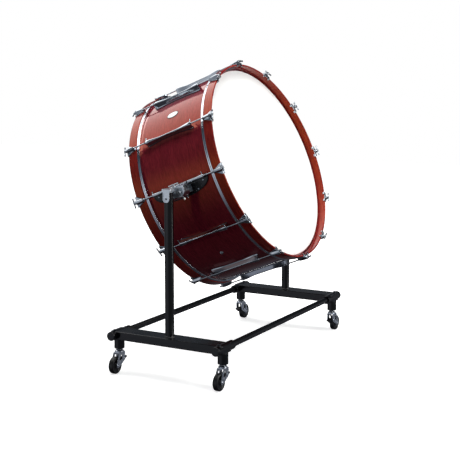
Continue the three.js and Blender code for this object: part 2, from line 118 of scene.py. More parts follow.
def skin(rings, closed=False):
    """A solid skinned over rings of points. Closed joins the last ring to the first instead of capping."""
    bm = bmesh.new()
    rows = [[bm.verts.new(p) for p in ring] for ring in rings]
    for low, high in zip(rows, rows[1:] + rows[:1] if closed else rows[1:]):
        for i, _ in enumerate(low):
            j = (i + 1) % len(low)
            bm.faces.new((low[i], low[j], high[j], high[i]))
    if not closed:
        bm.faces.new(rows[0][::-1])
        bm.faces.new(rows[-1])
    bmesh.ops.remove_doubles(bm, verts=bm.verts, dist=1e-4)
    bmesh.ops.dissolve_degenerate(bm, edges=bm.edges, dist=1e-4)
    bmesh.ops.recalc_face_normals(bm, faces=bm.faces)
    return bm


def turned(profile, steps=48):
    """A closed profile of (radius, along) points turned about the Y axis."""
    angles = [2 * pi * i / steps for i in range(steps)]
    return skin([[(r * sin(a), y, r * cos(a)) for r, y in profile] for a in angles], closed=True)


def bar(radius, low, high, steps=20):
    """A plain round bar along Y, which is also the cutter for a drilled hole."""
    return turned([(0, low), (radius, low), (radius, high), (0, high)], steps)


def slab(outline, low, high, axis="Z"):
    """An outline made solid along an axis: (x, y) along Z, (x, z) along Y or (y, z) along X."""
    lay = {"Z": lambda u, v, w: (u, v, w), "Y": lambda u, v, w: (u, w, v), "X": lambda u, v, w: (w, u, v)}
    return skin([[lay[axis](u, v, w) for u, v in outline] for w in (low, high)])


print("tools: rounded, skin, turned, bar, slab")


# %% Edges, moves and joins
TO_X = Matrix.Rotation(-pi / 2, 4, "Z")
TO_Z = Matrix.Rotation(pi / 2, 4, "X")


def break_edges(bm, width, steps=2, sharper=32):
    """Rounds every edge that is sharper than an angle, as casting, bending or a file would."""
    sharp = [e for e in bm.edges if len(e.link_faces) == 2 and e.calc_face_angle(0) > radians(sharper)]
    bmesh.ops.bevel(bm, geom=sharp, offset=width, segments=steps, profile=0.5, affect="EDGES",
                    clamp_overlap=True)
    return bm


def moved(bm, matrix):
    bmesh.ops.transform(bm, matrix=matrix, verts=bm.verts)
    if matrix.determinant() < 0:
        bmesh.ops.reverse_faces(bm, faces=bm.faces)
    return bm


def at(x=0.0, y=0.0, z=0.0):
    return Matrix.Translation((x, y, z))


def box(xs, ys, zs, edge=1.0, steps=2):
    """A block between two values along each axis, with its edges broken. An edge of 0 leaves them sharp."""
    solid = slab([(xs[0], ys[0]), (xs[1], ys[0]), (xs[1], ys[1]), (xs[0], ys[1])], zs[0], zs[1])
    return break_edges(solid, edge, steps) if edge else solid


def bundle(*parts):
    """Several solids in one mesh, side by side, with nothing cut."""
    whole = bmesh.new()
    for part in parts:
        mesh = bpy.data.meshes.new("part")
        part.to_mesh(mesh)
        part.free()
        whole.from_mesh(mesh)
        bpy.data.meshes.remove(mesh)
    return whole


def fused(first, *others, how="UNION"):
    """One skin round solids that run into each other, or the first one less the others."""
    objects = []
    for bm in (first, *others):
        mesh = bpy.data.meshes.new("part")
        bm.to_mesh(mesh)
        bm.free()
        objects.append(bpy.data.objects.new("part", mesh))
        bpy.context.scene.collection.objects.link(objects[-1])
    for other in objects[1:]:
        step = objects[0].modifiers.new("join", "BOOLEAN")
        step.operation, step.solver, step.object = how, "EXACT", other
    made = bpy.data.meshes.new_from_object(objects[0].evaluated_get(bpy.context.evaluated_depsgraph_get()))
    whole = bmesh.new()
    whole.from_mesh(made)
    for item in objects:
        bpy.data.meshes.remove(item.data)
    bpy.data.meshes.remove(made)
    return whole


print("tools: break_edges, moved, box, bundle, fused")

# %% [markdown]
# ## From a mesh to a piece
# A finished mesh becomes a piece of the drum: it is shrunk to metres, shaded smooth except where an edge is
# truly sharp, put in place, and tied to the body that it moves with. Repeated parts share one mesh, as a
# maker casts many lugs in one mould. A weighted-normal modifier keeps flat faces flat beside their bevels.


# %% Make meshes and pieces
def finished(name, bm, *materials, sharp=38):
    """A mesh in metres from a bmesh in millimetres."""
    bmesh.ops.scale(bm, vec=(MM, MM, MM), verts=bm.verts)
    for face in bm.faces:
        face.smooth = True
    for edge in bm.edges:
        edge.smooth = len(edge.link_faces) < 2 or edge.calc_face_angle(0) < radians(sharp)
    mesh = bpy.data.meshes.new(name)
    bm.to_mesh(mesh)
    bm.free()
    for material in materials:
        mesh.materials.append(material)
    return mesh


def piece(name, mesh, place, body, slot, *stands_for):
    """An object on a CAD body, which may stand for CAD nodes."""
    thing = bpy.data.objects.new(name, mesh)
    bpy.context.scene.collection.objects.link(thing)
    thing.matrix_world = at(*(MM * place.translation)) @ place.to_3x3().to_4x4()
    normals = thing.modifiers.new("flat_faces", "WEIGHTED_NORMAL")
    normals.keep_sharp = True
    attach(thing, body)
    if stands_for:
        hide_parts(*stands_for)
    return thing


print("tools: finished, piece")

# %% [markdown]
# ## Tools for finishes
# Colours are written as the sRGB codes that a painter would read off a chart, and one function turns them
# to the linear numbers that light is added up in. One more function adds a node, sets its fields and joins
# its inputs. Every finish is made with these two.


# %% Colour and node tools
def linear(code):
    """An sRGB hex colour as linear red, green, blue and alpha."""
    parts = [int(code[i : i + 2], 16) / 255 for i in (1, 3, 5)]
    return [c / 12.92 if c <= 0.04045 else ((c + 0.055) / 1.055) ** 2.4 for c in parts] + [1.0]


def add(tree, kind, inputs=None, **settings):
    """A new node. An input is a value to set or another node's output to join."""
    node = tree.nodes.new(kind)
    for name, value in settings.items():
        setattr(node, name, value)
    for name, value in (inputs or {}).items():
        socket = node.inputs[name]
        if isinstance(value, bpy.types.NodeSocket):
            tree.links.new(value, socket)
        else:
            socket.default_value = value
    return node


def new_finish(name, **surface):
    """A material with its Principled shader, whose plain numbers sit on the shader's own sockets."""
    material = bpy.data.materials.new(name)
    material.use_nodes = True
    tree = material.node_tree
    shader = tree.nodes["Principled BSDF"]
    for label, value in surface.items():
        shader.inputs[label.replace("_", " ").title().replace("Ior", "IOR")].default_value = value
    return material, tree, shader


print("mahogany red in linear light:", [round(c, 3) for c in linear("#6E2A1F")])

# %% [markdown]
# ## Mahogany under polished lacquer
# The shell is bent plywood faced with mahogany veneer whose grain runs round the drum. It was stained red,
# sprayed with lacquer that carries a little orange dye, then with clear lacquer, and buffed. The eye gets
# three things from that: fine grain lines of low contrast, broad soft bands where the grain leans, and a
# sharp mirror that glows orange where a light stands in it, because the light goes through the dye twice.


# %% Lacquered mahogany
LACQUER_WAVE = 1000 / 60  # mm across one soft wave in the sprayed lacquer


def mahogany(name, dark, middle, light, across, along):
    """Veneer whose grain runs round the Y axis. across and along are a grain line's sizes in millimetres."""
    material, tree, shader = new_finish(
        name, roughness=0.11, ior=1.5, specular_ior_level=1.0, specular_tint=linear("#FF7420"),
        coat_weight=0.03, coat_roughness=0.04, coat_ior=1.5
    )
    place = add(tree, "ShaderNodeTexCoord").outputs["Object"]
    # Real pores are about 0.2 mm wide, which is too fine to show, so the lines are drawn coarser.
    slow, fast = 1000 / along, 1000 / across

    def grain(stretch, detail, seed, rough=0.6):
        scale = (slow * stretch, fast * stretch, slow * stretch)
        lean = add(tree, "ShaderNodeMapping", {"Vector": place, "Scale": scale, "Location": (seed, seed, seed)})
        noise = {"Vector": lean.outputs[0], "Scale": 1.0, "Detail": detail, "Roughness": rough}
        return add(tree, "ShaderNodeTexNoise", noise).outputs["Fac"]

    lines, bands, pores = grain(1.0, 4.0, 3.1), grain(0.12, 3.0, 7.7), grain(2.0, 2.0, 1.3, 0.5)
    ramp = add(tree, "ShaderNodeValToRGB", {"Fac": lines})
    stops = ramp.color_ramp.elements
    stops[0].position, stops[0].color = 0.30, linear(dark)
    stops[1].position, stops[1].color = 0.72, linear(light)
    stops.new(0.50).color = linear(middle)
    shade = add(tree, "ShaderNodeMapRange", {"Value": bands, "From Min": 0.3, "From Max": 0.7, "To Min": 0.85,
                                             "To Max": 1.1}).outputs[0]
    lit = add(tree, "ShaderNodeMix", {0: 1.0, 6: ramp.outputs["Color"], 7: shade}, data_type="RGBA",
              blend_type="MULTIPLY").outputs[2]
    pore = add(tree, "ShaderNodeMapRange", {"Value": pores, "From Min": 0.58, "From Max": 0.72, "To Max": 0.7})
    veined = add(tree, "ShaderNodeMix", {0: pore.outputs[0], 6: lit, 7: linear(dark)}, data_type="RGBA")
    tree.links.new(veined.outputs[2], shader.inputs["Base Color"])
    gloss = add(tree, "ShaderNodeMapRange", {"Value": bands, "To Min": 0.08, "To Max": 0.15})
    tree.links.new(gloss.outputs[0], shader.inputs["Roughness"])
    ripple = add(tree, "ShaderNodeBump", {"Height": lines, "Strength": 0.05, "Distance": 0.0001})
    tree.links.new(ripple.outputs[0], shader.inputs["Normal"])
    peel = add(tree, "ShaderNodeTexNoise", {"Vector": place, "Scale": 1000 / LACQUER_WAVE, "Detail": 1.0})
    wave = add(tree, "ShaderNodeBump", {"Height": peel.outputs["Fac"], "Strength": 0.06, "Distance": 0.0003})
    tree.links.new(wave.outputs[0], shader.inputs["Coat Normal"])
    return material


shell_finish = mahogany("stained_mahogany_veneer_buffed_lacquer", "#5E1524", "#7C1E2E", "#8E2E34", 2.6, 30)
hoop_finish = mahogany("stained_maple_hoop_buffed_lacquer", "#66161E", "#842222", "#A43A28", 2.6, 40)
print("wood finishes:", shell_finish.name, "and", hoop_finish.name)

# %% [markdown]
# ## Chrome, steel and black paint
# The claws, lugs and handles are zinc castings that were polished and then plated with nickel and chrome.
# Such chrome is a slightly blue mirror with faint waves from the casting under it. Caster forks are pressed
# steel with a duller zinc plate. The stand's tube is powder-coated: the powder melts into a satin skin with
# a fine dimple, like orange peel, which breaks up every reflection a little.


# %% Plated metal
HAZE = 14  # mm across a patch where handling has dulled the plate


def metal(name, colour, roughness, dent, dent_size, spread=0.25):
    """A bare or plated metal. dent is the depth and dent_size the width, in millimetres, of its waves."""
    material, tree, shader = new_finish(name, metallic=1.0, roughness=roughness)
    place = add(tree, "ShaderNodeTexCoord").outputs["Object"]
    haze = add(tree, "ShaderNodeTexNoise", {"Vector": place, "Scale": 1000 / HAZE, "Detail": 5.0})
    worn = add(tree, "ShaderNodeMapRange", {
        "Value": haze.outputs["Fac"], "From Min": 0.35, "From Max": 0.75, "To Min": roughness * (1 - spread),
        "To Max": roughness * (1 + spread)})
    tree.links.new(worn.outputs[0], shader.inputs["Roughness"])
    tone = add(tree, "ShaderNodeMix", {0: 0.1, 6: linear(colour), 7: haze.outputs["Fac"]}, data_type="RGBA",
               blend_type="MULTIPLY")
    tree.links.new(tone.outputs[2], shader.inputs["Base Color"])
    waves = add(tree, "ShaderNodeTexNoise", {"Vector": place, "Scale": 1000 / dent_size, "Detail": 2.0})
    bump = add(tree, "ShaderNodeBump", {"Height": waves.outputs["Fac"], "Strength": 1.0, "Distance": dent * MM})
    tree.links.new(bump.outputs[0], shader.inputs["Normal"])
    return material


chrome = metal("zinc_casting_polished_and_chrome_plated", "#B4BAC0", 0.09, 0.05, 7)
rim_chrome = metal("rolled_steel_rim_chrome_plated", "#DDE2EA", 0.12, 0.04, 12)
zinc = metal("pressed_steel_bright_zinc_plated", "#E2E7EE", 0.27, 0.05, 5)
satin_chrome = metal("zinc_casting_blasted_and_chrome_plated", "#DCE3E9", 0.34, 0.03, 2)
bolt_steel = metal("steel_bolt_black_oxide", "#3A3C40", 0.34, 0.04, 3)
print("metals:", [m.name for m in (chrome, rim_chrome, zinc, satin_chrome, bolt_steel)])

# %% Black coatings and mouldings
DUST = 1000 / 22  # mm across a patch of settled dust


def black_coat(name, colour, roughness, grain, depth):
    """A black skin with a dimple of a grain and depth in millimetres. Grain finer than 0.8 mm would be too fine
    to show, so none is drawn finer than that."""
    material, tree, shader = new_finish(name, roughness=roughness, ior=1.5)
    place = add(tree, "ShaderNodeTexCoord").outputs["Object"]
    dust = add(tree, "ShaderNodeTexNoise", {"Vector": place, "Scale": 1000 / DUST, "Detail": 6.0, "Roughness": 0.65})
    film = add(tree, "ShaderNodeMapRange", {"Value": dust.outputs["Fac"], "From Min": 0.45, "From Max": 0.8,
                                            "To Min": 0.0, "To Max": 0.2})
    dusty = add(tree, "ShaderNodeMix", {0: film.outputs[0], 6: linear(colour), 7: linear("#17181A")},
                data_type="RGBA")
    tree.links.new(dusty.outputs[2], shader.inputs["Base Color"])
    sheen = add(tree, "ShaderNodeMapRange", {"Value": dust.outputs["Fac"], "From Min": 0.3, "From Max": 0.7,
                                             "To Min": roughness - 0.05, "To Max": roughness + 0.08})
    tree.links.new(sheen.outputs[0], shader.inputs["Roughness"])
    peel = add(tree, "ShaderNodeTexNoise", {"Vector": place, "Scale": 1000 / grain, "Detail": 2.0})
    bump = add(tree, "ShaderNodeBump", {"Height": peel.outputs["Fac"], "Strength": 1.0, "Distance": depth * MM})
    tree.links.new(bump.outputs[0], shader.inputs["Normal"])
    return material


powder = black_coat("black_powder_coat_on_steel", "#060607", 0.17, 1.6, 0.006)
cast_black = black_coat("black_enamel_on_zinc_casting", "#060607", 0.22, 2.5, 0.015)
rubber = black_coat("moulded_black_rubber_tyre", "#0C0C0D", 0.42, 0.8, 0.03)
nylon = black_coat("moulded_black_nylon_wheel", "#08080A", 0.24, 1.2, 0.015)
print("blacks:", [m.name for m in (powder, cast_black, rubber, nylon)])

# %% [markdown]
# ## Polyester film, plastic and foil
# A drumhead is polyester film a quarter of a millimetre thick, coated white and drawn over the shell's edge
# until it is flat. It scatters light evenly and keeps a soft satin shine. The lever's ball is turned from
# white plastic, and the badge is a stamped plate with a pale brushed face.


# %% Film, ball and badge
COATING_GRAIN = 1.5  # mm, drawn coarser than the coating's own grain, which is too fine to show


def pale(name, colour, shade, roughness, size, ior):
    """A pale plastic with a faint mottle of the given size in millimetres."""
    material, tree, shader = new_finish(name, roughness=roughness, ior=ior)
    place = add(tree, "ShaderNodeTexCoord").outputs["Object"]
    cloud = add(tree, "ShaderNodeTexNoise", {"Vector": place, "Scale": 1000 / size, "Detail": 4.0})
    soft = add(tree, "ShaderNodeMapRange", {"Value": cloud.outputs["Fac"], "From Min": 0.4, "From Max": 0.8,
                                            "To Min": 0.0, "To Max": 0.5})
    mottle = add(tree, "ShaderNodeMix", {0: soft.outputs[0], 6: linear(colour), 7: linear(shade)},
                 data_type="RGBA")
    tree.links.new(mottle.outputs[2], shader.inputs["Base Color"])
    fine = add(tree, "ShaderNodeTexNoise", {"Vector": place, "Scale": 1000 / COATING_GRAIN, "Detail": 2.0})
    bump = add(tree, "ShaderNodeBump", {"Height": fine.outputs["Fac"], "Strength": 0.5, "Distance": 0.00002})
    tree.links.new(bump.outputs[0], shader.inputs["Normal"])
    return material


film_white = pale("polyester_film_coated_white", "#FEFEFB", "#F8F7F2", 0.38, 90, 1.57)
ball_white = pale("turned_white_phenolic_ball", "#F4F3EE", "#E6E4DC", 0.18, 6, 1.6)
foil = metal("stamped_badge_brushed_aluminium", "#C9CCCB", 0.30, 0.01, 1.2)
print("pale finishes:", film_white.name, ball_white.name, foil.name)

# %% [markdown]
# ## The shell
# The shell is a tube 9 mm thick. Its two ends are cut to a bearing edge: the wood is rounded outside and
# sloped inside, so that the film touches only a narrow ridge and rings freely. A turned profile gives that
# edge for nothing, where a plain tube would need it cut afterwards.

# %% Shell
end, inner = SHELL_HALF, SHELL - 9
half = [(inner, end - 7, 0), (SHELL - 4, end), (SHELL - 2, end), (SHELL, end - 3)]
profile = rounded([(r, -y, *rest) for r, y, *rest in half] + half[::-1], 1.0)
shell_mesh = finished("shell_veneer", turned(profile, 180), shell_finish)
piece("shell_veneer", shell_mesh, drum_place, "drum", "lacquered_shell", "shell")
print("shell:", len(shell_mesh.polygons), "faces, diameter", 2 * SHELL, "mm")

# %% [markdown]
# ## Hoops
# Each counterhoop is a strip of maple, steamed and bent into a ring 8 mm thick and 44 mm wide, stained like
# the shell. On the real hoop the outer edge is darker, because stain soaks into end grain, but here one
# finish covers the whole strip. It presses on the head's rim.

# %% Counterhoops
strip = [(HOOP_IN, -HOOP_EDGE), (HOOP_OUT, -HOOP_EDGE), (HOOP_OUT, -HOOP_SEAT), (HOOP_IN, -HOOP_SEAT)]
section = rounded(strip, 2.4)
hoop_mesh = finished("hoop_wood", turned(section, 180), hoop_finish)
for side in ("front", "rear"):
    place = station(12, side == "rear")
    piece(f"hoop_wood_{side}", hoop_mesh, place, "drum", "lacquered_hoop", f"hoop_{side}")
print("hoop:", len(hoop_mesh.polygons), "faces, inner diameter", 2 * HOOP_IN, "mm")

# %% [markdown]
# ## Drumheads
# A head is a disc of film that is folded over the bearing edge and locked into a plated steel rim. The rim
# is what the hoop pushes on, and it shows as a bright band beside the hoop. The rim has a rolled groove, so
# it throws two lines of light. Film and rim differ in every way, so they are two pieces.

# %% Film and rim
over_edge = [(0, -198.0), (446, -198.0), (451.2, -196.9), (454.6, -194.0), (456.3, -189.5), (456.3, -175.0)]
under_edge = [(r - 0.7 if r > 450 else r, y + 0.6) for r, y in over_edge[:-1]] + [(455.6, -175.0)]
film_mesh = finished("head_film", turned(over_edge + under_edge[::-1], 180), film_white, sharp=60)
rim_line = [(456.7, -173), (465.8, -173), (467, -174.6), (467, -179.2), (465.7, -180.4), (467, -181.6),
            (467, -186.2), (465.8, -187.7), (456.7, -187.7)]
rim_mesh = finished("head_rim", turned(rounded(rim_line, 0.9, 2), 180), rim_chrome)
for side in ("front", "rear"):
    place = station(12, side == "rear")
    piece(f"head_film_{side}", film_mesh, place, "drum", "film_head", f"drumhead_{side}")
    piece(f"head_rim_{side}", rim_mesh, place, "drum", "chrome", f"drumhead_{side}")
print("head: film", len(film_mesh.polygons), "faces, rim", len(rim_mesh.polygons), "faces")

# %% [markdown]
# ## Claws
# A claw is a small casting that hooks over the hoop and takes the pull of one rod. From outside it is a
# triangle with a swelling down its middle for the rod, and two fingers fold over the hoop's edge. The plate
# is skinned over cross-sections from its tip to the hoop's edge, and the fingers are fused on.


# %% Claws
def claw_section(y, width, swell, top):
    """The claw's cross-section at one place along the drum: a thin plate with a swelling in the middle."""
    half_width, low, face = width / 2, HOOP_OUT - 1, HOOP_OUT + 3.2
    right = [(half_width, low), (half_width, face - 1), (half_width - 1.5, face + 0.6), (swell + 3, face + 1.4),
             (swell, top - 4), (swell * 0.55, top)]
    outline = rounded(right + [(-x, z) for x, z in right[::-1]], 1.2, 2)
    return [(x, y, z) for x, z in outline]


plate = skin([claw_section(*row) for row in (
    (-190.5, 15, 5.2, 480), (-194, 17.5, 6.2, 483.5), (-200, 21, 7, 485.6), (-212, 31, 7.6, 486.6),
    (-222, 41.5, 8, 487.2), (-229, 48.5, 8.2, 487.6), (-234, 49.5, 8.2, 487.4), (-235.5, 49, 7.8, 486.8))])
boss = moved(turned(rounded([(0, -233), (8.4, -233), (8, -240.6), (0, -240.6, 0)], 1.4), 28), at(z=ROD_LINE))
finger_side = rounded([(-231, 470.5), (-231, 474.5), (-234.5, 474.5, 3), (-236.4, 471, 3), (-236.4, 459, 3.5),
                       (-234, 456.6, 2), (-227, 457.6, 2), (-226.5, 461.2, 1), (-231.5, 462, 2)], 1.0, 4)
fingers = [break_edges(slab(finger_side, x - 5.5, x + 5.5, "X"), 1.3) for x in (-19, 19)]
bridge = box((-14, 14), (-236, -231), (463.5, 473), 1.4)
rod_hole = moved(bar(3.7, -245, -185), at(z=ROD_LINE))
claw_mesh = finished("claw", fused(fused(plate, boss, *fingers, bridge), rod_hole, how="DIFFERENCE"), chrome)
for side in ("front", "rear"):
    for hour in range(1, 13):
        place = station(hour, side == "rear")
        piece(f"claw_{side}_{hour:02d}", claw_mesh, place, "drum", "chrome", f"hoop_{side}")
print("claw:", len(claw_mesh.polygons), "faces, 24 copies")

# %% [markdown]
# ## Tension rods
# A rod is a long screw with a T-handle, so that the drum can be tuned by hand. The handle is cast with a
# waist and swells again to two round ends. A square-cut washer sits between it and the claw. The rod is a
# body of its own in the frame, so each copy rides on its own body and turns there.


# %% T-handled tension rods
def handle_section(x, wide, deep, middle=-245.6):
    """An oval slice through the handle, across its length."""
    turn = [2 * pi * i / 16 for i in range(16)]
    return [(x, middle + deep * sin(a), ROD_LINE + wide * cos(a)) for a in turn]


arm = [(3.5, 4.1, 3.3), (9, 3.3, 2.9), (15, 3.7, 2.9), (20, 4.3, 3.1), (22.4, 4.1, 3.0), (23.6, 3.0, 2.2),
       (24, 1.2, 0.9)]
grip = skin([handle_section(-x, w, d) for x, w, d in arm[::-1]] + [handle_section(*row) for row in arm])
neck = rounded([(0, -249.0), (4.8, -249.0, 2), (5.6, -245.5, 1), (5.6, -242.4), (6.6, -242.2, 0.4),
                (6.6, -241.0, 0.4), (3, -241.0, 0), (3, -104.5, 0), (2.2, -103.6, 0), (0, -103.6, 0)], 1.0)
rod_mesh = finished("t_rod", fused(grip, moved(turned(neck, 24), at(z=ROD_LINE))), chrome)
for side in ("front", "rear"):
    for hour in range(1, 13):
        name = f"tension_rod_{side}_{hour:02d}"
        piece(f"t_rod_{side}_{hour:02d}", rod_mesh, station(hour, side == "rear"), name, "chrome", name)
print("tension rod:", len(rod_mesh.polygons), "faces, 24 copies")

# %% [markdown]
# ## Lugs
# Ten long lugs are bolted to the shell. Each has two broad ends that hold the threads and a slim raised bar
# that joins them, with a peg on each end. One skin over cross-sections makes the whole casting, wide and
# soft at its ends and narrow between them, which a box for each part could never do.


# %% Double-ended lugs
def lug_section(y, foot, crown, height):
    """The lug's cross-section at one place along the drum."""
    corners = [(-foot, FOOT), (-foot, FOOT + 2.5), (-foot * 0.82, FOOT + 5), (-crown, FOOT + height - 2.5),
               (-crown * 0.55, FOOT + height)]
    outline = rounded(corners + [(-x, z) for x, z in corners[::-1]], 1.3, 2)
    return [(x, y, z) for x, z in outline]


def side_screw(start):
    """The small screw that stands out of a lug's side, along X from the side's distance."""
    line = [(0, start - 4), (3.4, start - 4, 0), (3.4, start + 1.2), (2, start + 1.8), (2, start + 5),
            (3.1, start + 5.8), (3.1, start + 10), (2.2, start + 10.9), (0, start + 10.9, 0)]
    return moved(turned(rounded(line, 0.6), 20), TO_X)


lug_half = [(LUG_END, 9.5, 6.4, 26.5), (LUG_END - 1.2, 10.6, 7.4, 28.6), (LUG_END - 4, 11.8, 8.2, 30.2),
            (LUG_END - 12, 12, 8.4, 30.7), (LUG_END - 24, 11.6, 7.6, 30.4), (LUG_END - 40, 9.6, 6.2, 29),
            (LUG_END - 56, 7.6, 5.0, 27), (LUG_END - 70, 6, 4.0, 26), (LUG_END - 84, 5, 3.4, 25.6),
            (0, 4.8, 3.2, 25.6)]
whole = [(-y, *rest) for y, *rest in lug_half[:-1]] + lug_half[::-1]
body = skin([lug_section(*row) for row in whole])
pegs = [moved(side_screw(12), at(y=y, z=ROD_LINE)) for y in (5 - LUG_END, LUG_END - 5)]
collar = [moved(turned(rounded([(0, s * (LUG_END - 3)), (5.6, s * (LUG_END - 3)), (5.2, s * (LUG_END + 1.6)),
                                (0, s * (LUG_END + 1.6), 0)], 0.6), 20), at(z=ROD_LINE)) for s in (-1, 1)]
bores = [moved(bar(3.7, s * 100, s * 140), at(z=ROD_LINE)) for s in (-1, 1)]
lug_mesh = finished("lug", fused(fused(body, *pegs, *collar), *bores, how="DIFFERENCE"), chrome)
for hour in (1, 2, 4, 5, 6, 7, 8, 10, 11, 12):
    piece(f"lug_cast_{hour:02d}", lug_mesh, station(hour), "drum", "chrome", f"lug_{hour:02d}")
print("lug:", len(lug_mesh.polygons), "faces, 10 copies")

# %% [markdown]
# ## Trunnions
# At three and nine o'clock the drum hangs by its trunnions. Each has a cast plate, enamelled black and curved
# to the shell, straight beside the rods and full below them, with chromed stubs for that station's rods.
# The plate is drawn flat and then wrapped round the shell, which is how the casting itself is designed.


# %% Trunnion plate and stubs
def wrapped(bm, radius):
    """Bends a flat solid round the drum: x becomes an arc at the radius and z a height above it."""
    for vert in bm.verts:
        turn, reach = vert.co.x / radius, radius + vert.co.z
        vert.co = Vector((reach * sin(turn), vert.co.y, reach * cos(turn)))
    return bm


def plate_line(inset, shrink, z):
    """The plate's outline at a height, moved inwards by an inset and then shrunk towards its middle."""
    line = []
    for step in range(49):
        turn = pi * step / 48
        along = (148.5 - inset) * copysign(abs(cos(turn)) ** 0.8333, cos(turn))
        line.append(((inset - 58) * abs(sin(turn)) ** 0.8333, along))
    line += [(9 - inset, (139 - inset) * step / 12) for step in range(-12, 13)]
    return [(-24 + (x + 24) * shrink, y * shrink, z) for x, y in line]


edge = [(0.6, 1, 0), (0, 1, 0.8), (0, 1, 5.4), (1, 1, 6.6), (2, 1, 6.9), (5, 1, 6.9), (6.4, 1, 5.6)]
shrinks = (0.04, 0.3, 0.6, 0.85)
levels = [(0.6, s, 0) for s in shrinks] + edge + [(6.4, s, 5.5) for s in shrinks[::-1]]
plate_mesh = finished("trunnion_plate", wrapped(skin([plate_line(*row) for row in levels]), FOOT), cast_black)
stub_rows = [(-140.5, 6.6, 5.2, 27), (-139, 7.8, 6.4, 29.4), (-136, 8.0, 7.0, 30.7), (-122, 8.0, 7.0, 30.7),
             (-112, 7.6, 6.2, 29.4), (-90, 6.6, 5.4, 28.4), (-70, 7.0, 5.8, 29.6), (-58, 7.6, 6.4, 30.4),
             (-54.5, 7.0, 5.8, 28.6)]


def stub(flip):
    """A stub for one rod. Its side screw points up, so the rear stub is the front one's mirror image."""
    body = skin([lug_section(*row) for row in stub_rows])
    screw = moved(side_screw(8), at(y=-135.5, z=ROD_LINE))
    mouth_line = [(0, -139), (5.6, -139), (5.2, -142.2), (0, -142.2, 0)]
    mouth = moved(turned(rounded(mouth_line, 0.6), 20), at(z=ROD_LINE))
    hole = moved(bar(3.7, -145, -98), at(z=ROD_LINE))
    return moved(fused(fused(body, screw, mouth), hole, how="DIFFERENCE"), Matrix.Scale(flip, 4, (0, 1, 0)))


stub_mesh = [finished("trunnion_stub", stub(1), chrome), finished("trunnion_stub_mirror", stub(-1), chrome)]
print("trunnion plate:", len(plate_mesh.polygons), "faces, stub:", len(stub_mesh[0].polygons), "faces")

# %% Boss, saddle and plate screws
boss_line = rounded([(0, 456), (22, 456), (22, 464), (19.5, 466.5, 2), (19.5, 477, 1), (21.8, 479, 1),
                     (21.8, 484), (0, 484, 0)], 1.4)
boss_mesh = finished("trunnion_boss", moved(turned(boss_line, 56), at(x=-PIVOT_DROP) @ TO_Z), chrome)
arch = rounded([(-8, FOOT + 4), (-8, 472, 3), (-5, 478.8, 3), (5, 478.8, 3), (8, 472, 3), (8, FOOT + 4)], 1)
saddle = break_edges(slab(arch, -46, 46, "Y"), 0.8)
bolt_line = rounded([(0, 470), (6.4, 470), (6.4, 482.5), (5.2, 484), (0, 484, 0)], 1)
saddle_bolts = [break_edges(moved(turned(bolt_line, 6), at(y=y) @ TO_Z), 0.5) for y in (-34, -14, 14, 34)]
saddle_mesh = finished("trunnion_saddle", bundle(saddle, *saddle_bolts), chrome)
head_line = rounded([(0, 0), (5.2, 0), (4.6, 2.2), (2.6, 3.2), (0, 3.3, 0)], 0.8)
slot_cut = box((-6, 6), (-0.6, 0.6), (2.0, 5), 0)
screw = fused(moved(turned(head_line, 24), TO_Z), slot_cut, how="DIFFERENCE")
screw_mesh = finished("slotted_screw", screw, chrome)
for side, hour in (("left", 9), ("right", 3)):
    place = station(hour, side == "right")
    node = f"trunnion_{side}"
    piece(f"trunnion_plate_{side}", plate_mesh, place, "drum", "chrome", node)
    piece(f"trunnion_boss_{side}", boss_mesh, place, "drum", "chrome", node)
    piece(f"trunnion_saddle_{side}", saddle_mesh, place, "drum", "chrome", node)
    for end, mesh in zip(("front", "rear") if side == "left" else ("rear", "front"), stub_mesh):
        piece(f"trunnion_stub_{side}_{end}", mesh, place, "drum", "chrome", node)
    for number, (x, y) in enumerate(((-43, -84), (-43, 84), (-14, -122), (-14, 122)), 1):
        lean = Matrix.Rotation(x / FOOT, 4, "Y") @ at(y=y, z=FOOT + 5.4)
        piece(f"plate_screw_{side}_{number}", screw_mesh, place @ lean, "drum", "chrome", node)
print("saddle:", len(saddle_mesh.polygons), "faces, screw:", len(screw_mesh.polygons), "faces")

# %% [markdown]
# ## Badge and air vent
# A small oval badge sits high on the shell between two lugs, left blank here, with a dark rim and a pale
# raised face. Lower down is the vent, a plated eyelet that lets air out when the head is struck. Its bore is
# closed by a cup whose black bottom is painted shade for the dark inside of the drum. Both are
# small turned or stamped things, so each is one skin over a few rings.


# %% Badge and vent
BADGE_TURN, VENT_TURN = 45, -47  # degrees round the shell from the left trunnion


def badge_oval(half_round, half_long, z):
    return [(half_round * cos(2 * pi * i / 48), half_long * sin(2 * pi * i / 48), z) for i in range(48)]


rim_rows = ((17, 30.5, 0.1), (17.5, 31, 0.5), (17.3, 30.8, 1.3), (16.6, 30.1, 1.6))
face_rows = ((14.6, 28.1, 0.8), (14.8, 28.3, 1.8), (14.2, 27.7, 2.1), (7, 14, 2.5), (0.6, 1.2, 2.6))
badge_rim = wrapped(skin([badge_oval(*row) for row in rim_rows]), SHELL)
badge_face = wrapped(skin([badge_oval(*row) for row in face_rows]), SHELL)
for face in badge_face.faces:
    face.material_index = 1
badge_mesh = finished("badge", bundle(badge_rim, badge_face), bolt_steel, foil)
piece("badge", badge_mesh, station(9 + BADGE_TURN / 30), "drum", "chrome")
eyelet = rounded([(0, 455.2), (8.2, 455.2), (7.9, 457), (6.2, 458.8), (4, 459.8), (2, 460), (1.7, 456.4),
                  (0, 456.4, 0)], 0.9)
vent_body = moved(turned(eyelet, 36), TO_Z)
# The faces that close the eyelet's bore take black enamel: painted shade for the dark inside of the drum seen
# through the hole.
for face in vent_body.faces:
    middle = face.calc_center_median()
    face.material_index = int(hypot(middle.x, middle.y) < 1.9 and middle.z > 456)
vent_mesh = finished("air_vent", vent_body, satin_chrome, cast_black)
piece("air_vent", vent_mesh, station(9 + VENT_TURN / 30), "drum", "chrome")
print("badge:", len(badge_mesh.polygons), "faces, vent:", len(vent_mesh.polygons), "faces")

